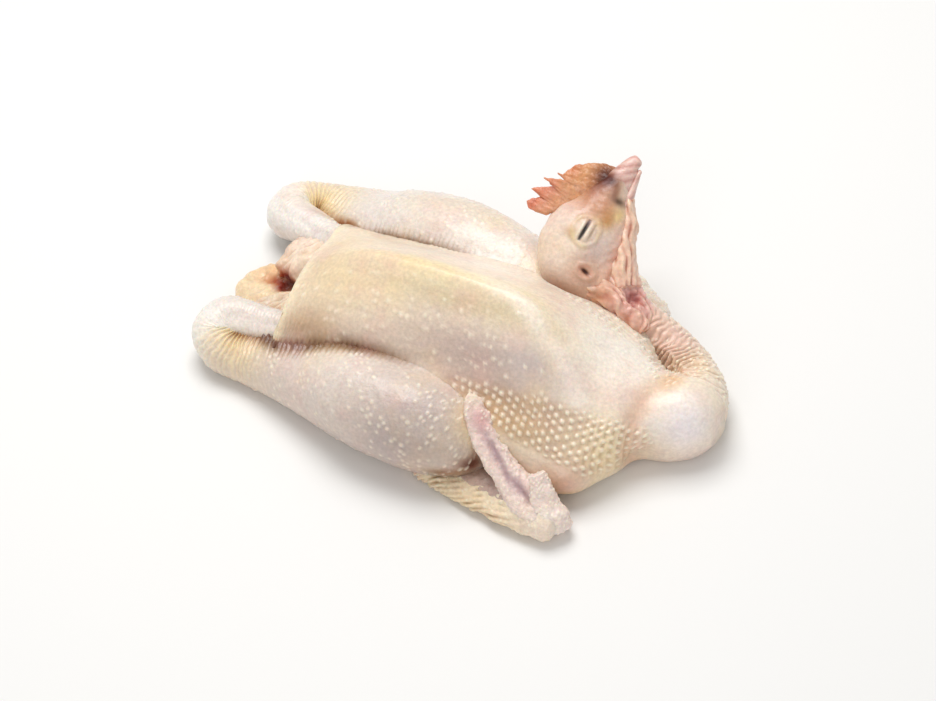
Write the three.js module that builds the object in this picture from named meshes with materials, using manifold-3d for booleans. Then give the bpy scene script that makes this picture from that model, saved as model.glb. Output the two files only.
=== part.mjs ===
// A whole raw chicken, plucked, with its head, neck and wings on and its legs folded in.
// It lies on its back. X runs from the tail to the neck, +Y is its right side, +Z is up, in mm.
// Every part of it is a closed skin round a smooth path, and all of them are welded into one solid.
import * as THREE from "three";
import { mergeVertices } from "three/addons/utils/BufferGeometryUtils.js";
import Module from "manifold-3d";

const wasm = await Module();
wasm.setup();

// Driving dimensions.
const KEEL_HEIGHT = 80; // top of the breastbone above the table
const SHOULDER_HALF_WIDTH = 66;
const BELLY_RIM_X = -84; // rim of the belly skin, over the tucked shanks
const THIGH_RADIUS = 26;
const HOCK_RADIUS = 12.5;
const SHANK_RADIUS = 9.5;
const NECK_RADIUS = 13;
const NECK_BEND_RADIUS = 19; // where the neck leaves the body and turns back
const FOREARM_HALF_WIDTH = 13;
const HAND_HALF_WIDTH = 10;
const SKULL_HEIGHT = 22; // above and below the middle of the head
const COMB_THICKNESS = 4;
const REST_CUT = 1; // how much of the rounded underside is flattened by its own weight

// A row of Catmull-Rom columns at t, from 0 to 1.
function along(rows, t) {
  const last = rows.length - 1;
  const place = Math.min(t * last, last - 1e-9);
  const i = Math.floor(place);
  const f = place - i;
  const row = (k) => rows[Math.max(0, Math.min(last, k))];
  return rows[0].map((_, c) => {
    const [a, b, d, e] = [row(i - 1)[c], row(i)[c], row(i + 1)[c], row(i + 2)[c]];
    return b + 0.5 * f * (d - a + f * (2 * a - 5 * b + 4 * d - e + f * (3 * (b - d) + e - a)));
  });
}

// A closed skin of equal rings, shut by one point at each end.
function closeRings(rings, startPoint, endPoint) {
  const around = rings[0].length;
  const endIndex = 1 + rings.length * around;
  const at = (r, k) => 1 + r * around + (k % around);
  const index = [];
  for (let k = 0; k < around; k++) {
    index.push(0, at(0, k + 1), at(0, k));
    index.push(at(rings.length - 1, k), at(rings.length - 1, k + 1), endIndex);
    for (let r = 0; r + 1 < rings.length; r++) {
      index.push(at(r, k), at(r, k + 1), at(r + 1, k + 1));
      index.push(at(r, k), at(r + 1, k + 1), at(r + 1, k));
    }
  }
  const points = [startPoint, ...rings.flat(), endPoint];
  const geometry = new THREE.BufferGeometry();
  geometry.setAttribute("position", new THREE.Float32BufferAttribute(points.flat(), 3));
  geometry.setIndex(index);
  return geometry;
}

// Unit superellipse of the given roundness: 2 is an ellipse, less is pointed, more is squarer.
function sectionPoints(around, topRoundness, lowRoundness) {
  return Array.from({ length: around }, (_, k) => {
    const angle = (2 * Math.PI * k) / around;
    const power = 2 / (Math.sin(angle) > 0 ? topRoundness : lowRoundness);
    const bend = (v) => Math.sign(v) * Math.abs(v) ** power;
    return [bend(Math.cos(angle)), bend(Math.sin(angle))];
  });
}

// A limb with rounded ends: rows of [x, y, z, half width, height, depth] along a path.
// Each ring stands square to the path, with its height towards up.
function limb(rows, { around = 14, rings = 14, up = [0, 0, 1], cap = 0.12 } = {}) {
  const upward = new THREE.Vector3(...up);
  const centreAt = (t) => new THREE.Vector3(...along(rows, t).slice(0, 3));
  const made = [];
  for (let r = 1; r < rings; r++) {
    const t = (1 - Math.cos((Math.PI * r) / rings)) / 2;
    const [, , , width, height, depth] = along(rows, t);
    const tangent = centreAt(Math.min(1, t + 0.01)).sub(centreAt(Math.max(0, t - 0.01)));
    const side = new THREE.Vector3().crossVectors(upward, tangent).normalize();
    const rise = new THREE.Vector3().crossVectors(tangent, side).normalize();
    const fromEnd = Math.min(1, Math.min(t, 1 - t) / cap);
    const shut = Math.sqrt(1 - (1 - fromEnd) ** 2);
    made.push(
      sectionPoints(around, 2, 2).map(([c, s]) =>
        centreAt(t)
          .addScaledVector(side, shut * width * c)
          .addScaledVector(rise, shut * (s > 0 ? height : depth) * s)
          .toArray(),
      ),
    );
  }
  return closeRings(made, centreAt(0).toArray(), centreAt(1).toArray());
}

const round = (point, radius) => [...point, radius, radius, radius];
const mix = (a, b, f) => a.map((v, i) => v + (b[i] - v) * f);

// ---- Trunk: breast with its keel, shoulders, back, and the belly skin with its rim ----
// Rings stand in planes across X, so the rear folds back in under the rim.
// Rows of [x, y, middle z, half width, height, depth, roundness above].
function makeTrunk() {
  const w = SHOULDER_HALF_WIDTH;
  const rows = [
    [BELLY_RIM_X + 24, 2, 32, 8, 6, 6, 2],
    [BELLY_RIM_X + 20, 2, 30, 26, 14, 14, 2],
    [BELLY_RIM_X + 3, 3, 28, 34, 18, 20, 2],
    [BELLY_RIM_X, 3, 26, 40, 24, 25, 1.9],
    [BELLY_RIM_X + 5, 3, 25, 44, 32, 26, 1.7],
    [-58, 1, 24, 47, KEEL_HEIGHT - 35, 26, 1.5],
    [-30, 0, 22, 52, KEEL_HEIGHT - 25, 24, 1.5],
    [5, 0, 21, 57, KEEL_HEIGHT - 21, 23, 1.5],
    [38, 0, 20, w - 4, KEEL_HEIGHT - 20, 22, 1.45],
    [60, 0, 20, w - 1, KEEL_HEIGHT - 24, 22, 1.4],
    [80, 0, 20, w, KEEL_HEIGHT - 34, 22, 1.45],
    [97, 0, 20, w - 2, 38, 22, 1.6],
    [109, 0, 20, w - 10, 32, 22, 1.7],
    [119, 0, 20, w - 22, 26, 21, 1.8],
    [127, 0, 20, w - 38, 19, 18, 2],
    [131, 0, 20, 10, 8, 9, 2],
  ];
  const around = 30;
  const rings = 32;
  const made = [];
  for (let r = 0; r <= rings; r++) {
    const [x, y, z, width, height, depth, roundness] = along(rows, r / rings);
    made.push(
      sectionPoints(around, roundness, 3).map(([c, s]) => [
        x,
        y + width * c,
        z + (s > 0 ? height : depth) * s,
      ]),
    );
  }
  return closeRings(made, rows[0].slice(0, 3), rows[rows.length - 1].slice(0, 3));
}

// ---- Leg: the drumstick with the thigh folded to it ----
// Rows of [x, y, radius]; each ring lies with its underside on the table.
function makeThigh(rows) {
  const path = rows.map(([x, y, radius]) => round([x, y, radius + 0.5], radius));
  return limb(path, { around: 20, rings: 20 });
}

// ---- Shank: bent back at the hock and tucked in under the belly rim ----
function makeShank(hock, middle, tucked) {
  return limb([
    round(hock, HOCK_RADIUS),
    round(mix(hock, middle, 0.5), SHANK_RADIUS + 1),
    round(middle, SHANK_RADIUS),
    round(mix(middle, tucked, 0.5), SHANK_RADIUS),
    round(tucked, SHANK_RADIUS),
  ]);
}

// ---- Wing: upper arm along the flank, forearm flat on the table, hand and thumb folded back ----
function makeWing(shoulder, elbow, wrist, handTip, thumbTip, handUp) {
  const flat = (point, width, depth) => [...point, width, depth, depth];
  const arm = limb(
    [
      round(shoulder, 19),
      round(mix(shoulder, elbow, 0.4), 15),
      round(mix(shoulder, elbow, 0.75), 11),
      flat(elbow, 9, 8),
    ],
    { around: 12, rings: 10 },
  );
  const forearm = limb([
    flat(elbow, 9, 7),
    flat(mix(elbow, wrist, 0.3), FOREARM_HALF_WIDTH, 7),
    flat(mix(elbow, wrist, 0.7), FOREARM_HALF_WIDTH, 7),
    flat(wrist, 10, 8),
  ]);
  const hand = limb(
    [
      flat(wrist, 10, 8.5),
      flat(mix(wrist, handTip, 0.25), HAND_HALF_WIDTH + 0.5, 6),
      flat(mix(wrist, handTip, 0.6), HAND_HALF_WIDTH - 1, 4.5),
      flat(mix(wrist, handTip, 0.85), 6.5, 4),
      flat(handTip, 2.5, 2),
    ],
    { up: handUp },
  );
  const thumb = limb(
    [
      flat(mix(wrist, thumbTip, 0.15), 6, 5),
      flat(mix(wrist, thumbTip, 0.6), 5.5, 4),
      flat(thumbTip, 3, 2.5),
    ],
    { around: 10, rings: 8, up: handUp },
  );
  return [arm, forearm, hand, thumb];
}

// ---- Neck: out of the body, folded round the right shoulder and back up to the head ----
function makeNeck() {
  return limb(
    [
      round([92, -4, 26], 27),
      round([116, -6, 24], 23),
      round([134, 1, 21], NECK_BEND_RADIUS),
      round([138, 20, 17], NECK_BEND_RADIUS - 3),
      round([126, 38, 14], NECK_RADIUS + 1),
      round([110, 50, 17], NECK_RADIUS),
      round([95, 57, 27], NECK_RADIUS - 1),
      round([80, 60, 40], NECK_RADIUS),
    ],
    { around: 16, rings: 24 },
  );
}

// ---- Tail: the parson's nose, and the lip of the vent above it ----
function makeTail() {
  const nose = limb([
    [-70, 2, 15, 24, 14, 14],
    [-95, 2, 13, 22, 12, 12],
    [-115, 6, 10, 17, 9, 9],
    [-130, 8, 8, 9, 6, 7],
  ]);
  const lip = limb(
    [round([-75, 17, 26], 13), round([-95, 20, 22], 12), round([-111, 26, 17], 8)],
    { around: 12, rings: 8 },
  );
  return [nose, lip];
}

// ---- Head, with +X to the tip of the beak and +Z to the top of the comb ----
function makeHead() {
  const high = SKULL_HEIGHT;
  const skull = limb(
    [
      [-30, 0, -8, 10, high - 12, high - 10],
      [-20, 0, -4, 14, high - 4, high - 4],
      [-5, 0, 2, 15.5, high + 1, high - 2],
      [8, 0, 4, 15, high - 3, high - 1],
      [20, 0, 3, 12, high - 6, high - 5],
      [32, 0, 2, 8, high - 13, high - 12],
      [40, 0, 1, 5, 6, 6],
    ],
    { around: 16, rings: 16 },
  );
  const beak = limb(
    [
      [26, 0, 2, 7, 8, 8],
      [40, 0, 0, 4.5, 5, 5],
      [53, 0, -3.5, 1.5, 1.5, 2],
    ],
    { around: 10, rings: 8 },
  );
  const wattle = limb(
    [
      [18, 0, -10, 5, 3, 3],
      [12, 0, -16, 6, 3, 3],
      [3, 0, -21, 3, 2, 2],
    ],
    { around: 10, rings: 8, up: [0, 1, 0] },
  );
  // The comb's outline: a rounded front lobe, then spikes that lean back, each with its notch.
  const comb = new THREE.Shape();
  comb.moveTo(40, 4);
  comb.bezierCurveTo(45, 8, 42, 22, 30, 29);
  for (const [tipX, tipZ, notchX, notchZ] of [
    [26, 33, 24, 28],
    [21, 38, 19, 32],
    [12, 42, 11, 35],
  ]) {
    comb.lineTo(notchX + 2, notchZ);
    comb.lineTo(tipX, tipZ);
    comb.lineTo(notchX, notchZ);
  }
  comb.lineTo(4, 41);
  comb.lineTo(0, 34);
  comb.lineTo(4, 24);
  comb.lineTo(20, 10);
  comb.closePath();
  const blade = new THREE.ExtrudeGeometry(comb, {
    depth: COMB_THICKNESS,
    bevelEnabled: false,
    curveSegments: 6,
  });
  blade.translate(0, 0, -COMB_THICKNESS / 2).rotateX(Math.PI / 2);
  const place = new THREE.Matrix4().makeBasis(
    new THREE.Vector3(0.125, 0.794, 0.594),
    new THREE.Vector3(-0.321, 0.597, -0.731),
    new THREE.Vector3(-0.939, -0.099, 0.331),
  );
  place.setPosition(57, 66, 58);
  return [skull, beak, wattle, blade].map((g) => g.applyMatrix4(place));
}

function solidOf(geometry) {
  const bare = geometry.clone();
  bare.deleteAttribute("normal");
  bare.deleteAttribute("uv");
  const merged = mergeVertices(bare, 1e-4);
  return new wasm.Manifold(
    new wasm.Mesh({
      numProp: 3,
      vertProperties: new Float32Array(merged.attributes.position.array),
      triVerts: new Uint32Array(merged.index.array),
    }),
  );
}

const r = THIGH_RADIUS;
const pieces = [
  makeTrunk(),
  makeThigh([
    [-130, -45, 12],
    [-112, -46, 11],
    [-94, -46, 12],
    [-76, -48, 15.5],
    [-57, -50, 19],
    [-38, -53, 23],
    [-16, -57, r],
    [8, -58.5, r + 0.5],
    [30, -58, r - 1],
    [52, -57, 14],
  ]),
  makeThigh([
    [-136, 62, 12],
    [-128, 73, 11],
    [-115, 77, 12],
    [-99, 77, 14],
    [-83, 74, 17.5],
    [-50, 68, 24],
    [-24, 66, r],
    [0, 61, r],
    [24, 55, r - 2],
    [48, 50, 14],
  ]),
  makeShank([-131, -44, 18], [-104, -29, 24], [-66, -28, 32]),
  makeShank([-137, 58, 16], [-110, 46, 25], [-66, 30, 34]),
  ...makeWing(
    [88, -44, 22],
    [14, -72, 9],
    [105, -77, 10.5],
    [41, -52, 50],
    [86, -69, 32],
    [0.3, -0.6, 0.7],
  ),
  ...makeWing([88, 40, 22], [20, 68, 10], [98, 68, 11], [72, 106, 10], [92, 94, 12], [0, 0, 1]),
  makeNeck(),
  ...makeTail(),
  ...makeHead(),
];

// The vent under the belly rim, and the cut across the throat, are shallow pits.
const pits = [
  new THREE.SphereGeometry(7, 10, 8).scale(1.3, 0.9, 1).translate(-92, 0, 31),
  new THREE.SphereGeometry(5, 10, 8).scale(0.8, 1.5, 1).translate(91, 52, 42),
];

let bird = solidOf(pieces[0]);
for (const piece of pieces.slice(1)) bird = bird.add(solidOf(piece));
for (const pit of pits) bird = bird.subtract(solidOf(pit));
const table = new THREE.BoxGeometry(600, 600, 100).translate(0, 0, REST_CUT - 50);
bird = bird.subtract(solidOf(table));

const mesh = bird.getMesh();
const skin = new THREE.BufferGeometry();
skin.setAttribute("position", new THREE.BufferAttribute(mesh.vertProperties, 3));
skin.setIndex(new THREE.BufferAttribute(mesh.triVerts, 1));
skin.computeVertexNormals();

// The origin is under the middle of the bird, on the table.
skin.computeBoundingBox();
const box = skin.boundingBox;
skin.translate(-(box.min.x + box.max.x) / 2, -(box.min.y + box.max.y) / 2, -box.min.z);

const chicken = new THREE.Mesh(
  skin,
  new THREE.MeshStandardMaterial({ color: 0xefdcc4, roughness: 0.42, metalness: 0 }),
);
chicken.name = "chicken";

const group = new THREE.Group();
group.add(chicken);
export default group;
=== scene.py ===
import bpy
import numpy as np
from mathutils import Matrix, Vector


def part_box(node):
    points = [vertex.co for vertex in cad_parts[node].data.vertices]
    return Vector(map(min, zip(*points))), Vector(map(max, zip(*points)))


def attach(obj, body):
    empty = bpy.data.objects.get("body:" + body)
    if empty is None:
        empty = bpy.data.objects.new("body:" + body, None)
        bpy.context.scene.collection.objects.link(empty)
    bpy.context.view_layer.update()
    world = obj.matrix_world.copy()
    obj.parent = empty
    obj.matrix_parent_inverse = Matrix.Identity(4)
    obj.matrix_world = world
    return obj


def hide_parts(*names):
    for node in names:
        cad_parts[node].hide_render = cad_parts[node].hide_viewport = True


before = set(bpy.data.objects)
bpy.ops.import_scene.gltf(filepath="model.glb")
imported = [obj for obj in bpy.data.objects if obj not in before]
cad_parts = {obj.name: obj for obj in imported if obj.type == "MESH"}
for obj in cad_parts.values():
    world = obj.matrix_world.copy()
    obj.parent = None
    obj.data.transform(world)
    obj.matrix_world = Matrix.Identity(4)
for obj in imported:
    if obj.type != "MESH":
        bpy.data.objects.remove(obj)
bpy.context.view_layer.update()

# ---- Where the bird lies ----
# The keel foot is the point of the table straight under the middle of the breastbone. All the
# sizes below are in millimetres from it: X to the neck, Y to the side that the head lies on.
low, high = (np.array(corner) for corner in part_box("chicken"))
keel_foot = low + np.array([0.1410, 0.0884, -0.0010])


# ---- Breast and back ----
# The body of the bird: a roof of breast muscle each side of the keel, wide at the shoulders, with
# the belly skin drawn back over the shanks to a cut rim. Loose cream skin with feather follicles.
def curve(rows, t):
    """Catmull-Rom curve through rows, every column at once, at each t from 0 to 1."""
    rows = np.asarray(rows, float)
    place = np.clip(t, 0, 1) * (len(rows) - 1)
    i = np.minimum(place.astype(int), len(rows) - 2)
    f = (place - i)[:, None]
    a, b, c, d = (rows[np.clip(i + k, 0, len(rows) - 1)] for k in (-1, 0, 1, 2))
    return b + 0.5 * f * (c - a + f * (2 * a - 5 * b + 4 * c - d + f * (3 * (b - c) + d - a)))


def oval(angle, width, height, depth, power):
    """Superellipse round the origin: cos and sin of the angle, each to the power 2 / power."""
    bend = 2 / power
    across = np.sign(np.cos(angle)) * np.abs(np.cos(angle)) ** bend
    rise = np.sign(np.sin(angle)) * np.abs(np.sin(angle)) ** bend
    return width * across, np.where(rise > 0, height, depth) * rise


def outward(grid):
    """Unit normals of a grid of rings: the step round crossed with the step along."""
    step_round = np.roll(grid, -1, 1) - np.roll(grid, 1, 1)
    normal = np.cross(step_round, np.gradient(grid, axis=0))
    return normal / (np.linalg.norm(normal, axis=2, keepdims=True) + 1e-9)


def blob(points, centre, reach):
    """1 at the centre, falling away as a Gaussian with the given reach, or reach along X, Y, Z."""
    away = (points - np.array(centre)) / np.array(reach)
    return np.exp(-np.sum(away * away, axis=-1))


def ripple(points, scale, seed):
    """Smooth noise from -1 to 1: five sine waves of random direction, about scale mm long."""
    rng = np.random.default_rng(seed)
    total = np.zeros(points.shape[:-1])
    for _ in range(5):
        wave = rng.normal(size=3)
        wave *= 2 * np.pi / (scale * rng.uniform(0.7, 1.5) * np.linalg.norm(wave))
        total += np.sin(points @ wave + rng.uniform(0, 6.28))
    return total / 5


def follicles(u, v, pitch, share, stretch=1.0):
    """Domes from 0 to 1 on a staggered lattice, each a little off its place and of its own size;
    only the given share of them have risen. The lattice alone is stretched along u."""
    height = np.zeros(u.shape)
    for shift in (0.0, 0.5):
        across, around = u / pitch / stretch + shift, v / pitch / 0.87 + shift
        cell = np.floor(across) * 12.9898 + np.floor(around) * 78.233 + 40 * shift
        chance, off, askew = ((np.sin(cell * k) * 43758.5453) % 1 for k in (1.0, 1.7, 2.3))
        across = (across % 1 - 0.5) * stretch + 0.24 * (off - 0.5)
        around = (around % 1 - 0.5) * 0.87 + 0.24 * (askew - 0.5)
        dome = np.clip(1 - (across**2 + around**2) / (0.06 + 0.04 * off), 0, 1)
        height = np.maximum(height, dome * np.clip((share - 0.97 * chance) * 5, 0, 1))
    return height


def paint(points, base, touches):
    """Base colour, then each touch of (centre, reach, colour, strength) blended over it."""
    colour = np.ones(points.shape[:-1] + (3,)) * np.array(base)
    for centre, reach, tint, strength in touches:
        amount = (strength * blob(points, centre, reach))[..., None]
        colour += amount * (np.array(tint) - colour)
    return colour


def piece(name, grid, colour, tips, finish):
    """Mesh of the rings, shut by a point at each end, with its colour, follicle tips and finish.
    Colours come as the eye sees them, and the power of 2.2 makes them the linear light of a
    shader. Tips may be one number for the whole piece."""
    rings, around = grid.shape[:2]
    points = np.concatenate([[grid[0].mean(0)], grid.reshape(-1, 3), [grid[-1].mean(0)]])
    r, k = np.meshgrid(np.arange(rings - 1), np.arange(around), indexing="ij")
    here, beside = 1 + r * around + k, 1 + r * around + (k + 1) % around
    quads = np.stack([here, beside, beside + around, here + around], -1).reshape(-1, 4)
    k = np.arange(around)
    last = 1 + (rings - 1) * around
    fans = np.concatenate(
        [
            np.stack([0 * k, 1 + (k + 1) % around, 1 + k], -1),
            np.stack([last + k, last + (k + 1) % around, 0 * k + len(points) - 1], -1),
        ]
    )
    metres = keel_foot + points * 0.001
    metres[:, 2] = np.maximum(metres[:, 2], low[2])
    mesh = bpy.data.meshes.new(name)
    mesh.from_pydata(metres.tolist(), [], quads.tolist() + fans.tolist())
    mesh.polygons.foreach_set("use_smooth", np.ones(len(mesh.polygons), bool))

    def spread(values):
        """One row for each point of the mesh: the two end points copy the ring beside them."""
        flat = values.reshape(-1, values.shape[-1])
        return np.concatenate([[flat[0]], flat, [flat[-1]]])

    tint = mesh.attributes.new("flesh", "FLOAT_COLOR", "POINT")
    rgba = np.concatenate([spread(colour) ** 2.2, np.ones((len(points), 1))], 1)
    tint.data.foreach_set("color", rgba.ravel())
    raised = mesh.attributes.new("tips", "FLOAT", "POINT")
    heights = np.broadcast_to(tips, grid.shape[:2])
    raised.data.foreach_set("value", spread(heights[..., None]).ravel())
    made = bpy.data.objects.new(name, mesh)
    bpy.context.scene.collection.objects.link(made)
    made.data.materials.append(finish)
    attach(made, "root")
    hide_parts("chicken")


def group(name, inputs, outputs):
    """Empty shader group with named float, vector or colour sockets."""
    kinds = {"f": "NodeSocketFloat", "v": "NodeSocketVector", "c": "NodeSocketColor"}
    tree = bpy.data.node_groups.new(name, "ShaderNodeTree")
    for socket, kind in inputs:
        tree.interface.new_socket(socket, in_out="INPUT", socket_type=kinds[kind])
    for socket, kind in outputs:
        tree.interface.new_socket(socket, in_out="OUTPUT", socket_type=kinds[kind])
    return tree, tree.nodes.new("NodeGroupInput"), tree.nodes.new("NodeGroupOutput")


def add(tree, kind, links=(), **settings):
    """New node with its settings; links are (its input, source socket or plain value)."""
    node = tree.nodes.new(kind)
    for key, value in settings.items():
        setattr(node, key, value)
    for socket, source in links:
        if isinstance(source, bpy.types.NodeSocket):
            tree.links.new(source, node.inputs[socket])
        else:
            node.inputs[socket].default_value = source
    return node


def calculate(tree, operation, *values):
    """Math node of up to three sockets or numbers; gives its output."""
    return add(tree, "ShaderNodeMath", enumerate(values), operation=operation).outputs[0]


def mix(tree, amount, first, second, blend="MIX"):
    """Mix of two colours; amount, first and second are sockets or plain values."""
    links = [(0, amount), (6, first), (7, second)]
    return add(tree, "ShaderNodeMix", links, data_type="RGBA", blend_type=blend).outputs[2]


def remap(tree, value, low, high, to_low=0.0, to_high=1.0):
    """Value stretched from the range low..high to the range to_low..to_high."""
    links = [(0, value), (1, low), (2, high), (3, to_low), (4, to_high)]
    return add(tree, "ShaderNodeMapRange", links).outputs[0]


def noise(tree, place, scale, detail):
    """Fractal noise with features 1 / scale metres long."""
    links = [("Vector", place), ("Scale", scale), ("Detail", detail)]
    return add(tree, "ShaderNodeTexNoise", links).outputs[0]


# Mottle: blood and fat under the skin, a few faint veins, and fine pale specks.
mottle, given, result = group("mottle", [("Place", "v"), ("Flesh", "c")], [("Colour", "c")])
place = given.outputs["Place"]
pink = remap(mottle, noise(mottle, place, 42, 4), 0.50, 0.74, 0, 0.34)
tint = mix(mottle, pink, given.outputs["Flesh"], (0.76, 0.42, 0.37, 1))
yellow = remap(mottle, noise(mottle, place, 27, 3), 0.54, 0.76, 0, 0.30)
tint = mix(mottle, yellow, tint, (0.88, 0.64, 0.32, 1))
vein = remap(mottle, noise(mottle, place, 120, 5), 0.56, 0.72, 0, 0.20)
tint = mix(mottle, vein, tint, (0.48, 0.33, 0.34, 1))
speck = remap(mottle, noise(mottle, place, 520, 2), 0.35, 0.75, 0.90, 1.06)
grey = add(mottle, "ShaderNodeCombineXYZ", [(0, speck), (1, speck), (2, speck)]).outputs[0]
mottle.links.new(mix(mottle, 1.0, tint, grey, "MULTIPLY"), result.inputs[0])


def skin_finish(name, gloss, crinkle, wet):
    """Moist skin: its roughness, the depth of its crinkles and the weight of its wet coat."""
    made = bpy.data.materials.new(name)
    made.use_nodes = True
    tree = made.node_tree
    shader = tree.nodes["Principled BSDF"]
    flesh = add(tree, "ShaderNodeAttribute", attribute_name="flesh").outputs["Color"]
    tip = add(tree, "ShaderNodeAttribute", attribute_name="tips").outputs["Fac"]
    place = add(tree, "ShaderNodeTexCoord").outputs["Object"]
    skin_tint = add(tree, "ShaderNodeGroup", [], node_tree=mottle)
    tree.links.new(place, skin_tint.inputs[0])
    tree.links.new(flesh, skin_tint.inputs[1])
    tip_share = calculate(tree, "MULTIPLY", tip, 0.75)
    pale_tip = mix(tree, tip_share, skin_tint.outputs[0], (1.0, 0.90, 0.72, 1))
    tree.links.new(pale_tip, shader.inputs["Base Color"])
    rough = remap(tree, noise(tree, place, 95, 3), 0.3, 0.7, gloss - 0.1, gloss + 0.12)
    tree.links.new(rough, shader.inputs["Roughness"])
    fine = calculate(tree, "MULTIPLY", noise(tree, place, 900, 2), 0.4)
    relief = calculate(tree, "ADD", fine, noise(tree, place, 330, 4))
    relief = calculate(tree, "MULTIPLY", relief, crinkle)
    links = [("Strength", 0.7), ("Distance", 0.0008), ("Height", relief)]
    bump = add(tree, "ShaderNodeBump", links)
    tree.links.new(bump.outputs[0], shader.inputs["Normal"])
    shader.inputs["Subsurface Weight"].default_value = 0.25
    shader.inputs["Subsurface Radius"].default_value = (1.0, 0.45, 0.25)
    shader.inputs["Subsurface Scale"].default_value = 0.003
    shader.inputs["Coat Weight"].default_value = wet
    shader.inputs["Coat Roughness"].default_value = 0.2
    return made


def shaped(grid, rise):
    """The grid with each point moved out along its normal by rise."""
    return grid + rise[..., None] * outward(grid)


def tinted(colour, amount, tint):
    """Colour blended towards tint by amount, point by point."""
    return colour + np.clip(amount, 0, 1)[..., None] * (np.array(tint) - colour)


# Rows from the turned-in rim of the belly skin to the front of the crop: x, y and z of the middle,
# half width, height, depth, and the roundness of the upper half, where 2 is an ellipse.
trunk_rows = np.array(
    [
        [-70, 1, 28, 22, 11, 12, 2.0],
        [-73, 1, 28, 36, 17, 18, 2.0],
        [-78, 1, 27, 43, 22, 22, 1.9],
        [-81.5, 1, 26, 46.5, 25.5, 24, 1.8],
        [-80, 1, 26, 48, 28, 24, 1.7],
        [-72, 1, 25, 49, 34, 24, 1.6],
        [-56, 0, 24, 51, 45, 24, 1.45],
        [-30, -1, 22, 56, 55, 22, 1.3],
        [5, -2, 21, 61, 59, 21, 1.26],
        [38, -3, 20, 63, 60, 20, 1.26],
        [58, -4, 20, 63, 57, 20, 1.3],
        [78, -5, 20, 60, 45, 20, 1.42],
        [96, -7, 20, 51, 34, 20, 1.55],
        [109, -8, 20, 39, 28, 20, 1.7],
        [120, -5.5, 20, 27.5, 24, 20, 1.85],
        [131, -1, 20, 20.5, 21, 20, 2.0],
        [141, 3, 19.5, 17, 19, 19, 2.0],
        [148, 4.5, 19, 13, 15, 16, 2.0],
        [152.5, 5, 19, 7, 9, 9, 2.0],
    ]
)


def trunk_grid(along, around):
    """Rings in planes across X. Of each ring's points, 82 percent lie on its upper half."""
    t = np.linspace(0, 1, along)
    x, y, z, width, height, depth, power = curve(trunk_rows, t).T[..., None]
    k = np.arange(around) / around
    under = 0.18
    upper = (k - under / 2) / (1 - under)
    angle = np.where(
        k < under / 2,
        -np.pi / 2 * (1 - 2 * k / under),
        np.where(k < 1 - under / 2, np.pi * upper, np.pi * (1 + (k - 1 + under / 2) / under)),
    )
    power = np.where(np.sin(angle) > 0, power, 3.0)
    across, rise = oval(angle[None], width, height, depth, power)
    return np.stack([x + 0 * across, y + across, z + rise], -1)


def measure(grid, first):
    """Millimetres along the rings, and round them from the ring point numbered first."""
    step = np.linalg.norm(np.diff(grid, axis=0), axis=2).mean(1)
    along = np.concatenate([[0], np.cumsum(step)])[:, None] + np.zeros(grid.shape[:2])
    step = np.linalg.norm(np.roll(grid, -1, 1) - grid, axis=2)
    around = np.cumsum(step, 1) - step
    return along, around - around[:, first : first + 1]


def gap(points, rows, up=(0, 0, 1)):
    """How far points lie outside a limb: nearest of 48 stations, less its radius that way."""
    stations = curve(rows, np.linspace(0, 1, 48))
    tangents = np.gradient(stations[:, :3], axis=0)
    side = np.cross(up, tangents)
    side /= np.linalg.norm(side, axis=1, keepdims=True)
    rise = np.cross(tangents, side)
    rise /= np.linalg.norm(rise, axis=1, keepdims=True)
    nearest = np.full(points.shape[:-1], 1e3)
    for station, across, upward in zip(stations, side, rise):
        power = station[6] if len(station) > 6 else 2.0
        away = points - station[:3]
        reach = np.linalg.norm(away, axis=-1)
        out, over = np.abs(away @ across), np.abs(away @ upward)
        level = (out / station[3]) ** power + (over / station[4]) ** power
        radius = (np.sqrt(out**2 + over**2) + 1e-6) / (level + 1e-9) ** (1 / power)
        nearest = np.minimum(nearest, reach - radius)
    return nearest


def fillet(distance, width):
    """Rise of a soft fold where two skins meet: a quarter of width, gone at width from it."""
    return width / 4 * np.clip(1 - np.abs(distance) / width, 0, 1) ** 2


def rounds(rows):
    """Rows of x, y, z, radius as rows of x, y, z, half width, height, depth."""
    rows = np.asarray(rows, float)
    return np.concatenate([rows, rows[:, 3:], rows[:, 3:]], 1)


# Middle lines of the legs, from the thigh to the end of the shank, and of the neck.
near_leg = rounds(
    [
        [51, -55, 24, 13],
        [42, -57, 24, 20],
        [25, -58.5, 25.5, 25],
        [8, -58.5, 27, 26.5],
        [-16, -57, 26.5, 26],
        [-38, -53, 23.5, 23],
        [-57, -50, 19.5, 19],
        [-76, -47.5, 16, 15.5],
        [-92, -46, 13, 13],
        [-104, -46, 12, 12],
        [-114, -44.5, 13.5, 13],
        [-121, -38, 17, 13],
        [-117, -30, 21.5, 12],
        [-107, -28, 23, 10.8],
        [-94, -28.5, 25, 10],
        [-80, -29, 28, 9.5],
        [-66, -29, 31, 9],
    ]
)
far_leg = rounds(
    [
        [52, 46, 26, 13],
        [40, 50, 26, 20],
        [24, 55, 25, 24],
        [0, 61, 26.5, 26],
        [-24, 66, 26.5, 26],
        [-50, 68, 24.5, 24],
        [-66, 71, 21, 20.5],
        [-83, 74, 18, 17.5],
        [-98, 76, 15, 15],
        [-109, 76, 13.5, 13.5],
        [-119, 74, 13.5, 13.5],
        [-127, 67, 15.5, 13.5],
        [-126, 57, 18.5, 13],
        [-116, 51, 22, 11.5],
        [-104, 46.5, 25, 10],
        [-90, 40, 28.5, 9.5],
        [-72, 32, 33, 9],
    ]
)
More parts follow.
